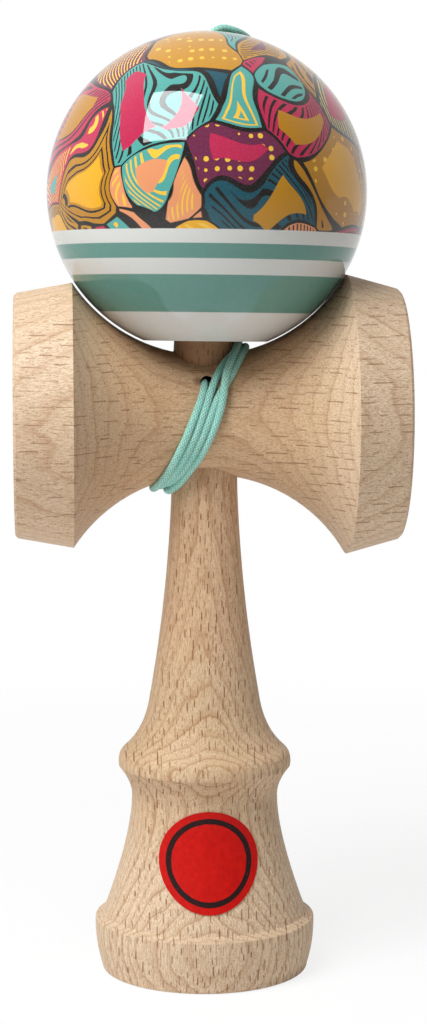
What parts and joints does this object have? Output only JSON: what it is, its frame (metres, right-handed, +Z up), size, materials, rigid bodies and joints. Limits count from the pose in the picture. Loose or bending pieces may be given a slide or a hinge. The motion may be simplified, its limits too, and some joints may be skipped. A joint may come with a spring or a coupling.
{
  "type": "kendama",
  "caption": "Wooden cup-and-ball toy: a turned handle with spike, base cup and a two-cup cross piece, and a lacquered ball with a hole, tied on by a wound string.",
  "frame": {"origin": "middle of the circle that the base rim stands on", "axes": "+Z up along the handle, +X along the cross piece towards the big cup, -Y towards the side with the label and the string hole"},
  "size_m": [0.0739, 0.063, 0.1834],
  "materials": {
    "handle_wood": "sanded natural beech",
    "cross_wood": "sanded natural beech",
    "ball_lacquer": "wood under a patterned paint and a high-gloss clear coat",
    "bead": "plain turned bead",
    "label": "satin sticker with a dark ring",
    "string": "braided polyester"
  },
  "bodies": {
    "handle": {"ken": "handle_wood", "sarado": "cross_wood", "label": "label", "string_anchor": "string", "anchor_knot": "string", "string_winding": "string", "string_rise": "string"},
    "bead": {"bead": "bead", "bead_knot": "string", "string_in_tama": "string"},
    "tama": {"tama": "ball_lacquer"}
  },
  "joints": [
    {"name": "tama_lift", "type": "slide", "parent": "handle", "child": "bead", "axis": [0, 0, 1], "range_m": [0, 0.055], "deforming": ["string_rise"]},
    {"name": "tama_spin", "type": "hinge", "parent": "bead", "child": "tama", "pos_m": [0.0005, 0, 0.15115], "axis": [0.0139, 0.0488, 0.9987], "continuous": true}
  ]
}
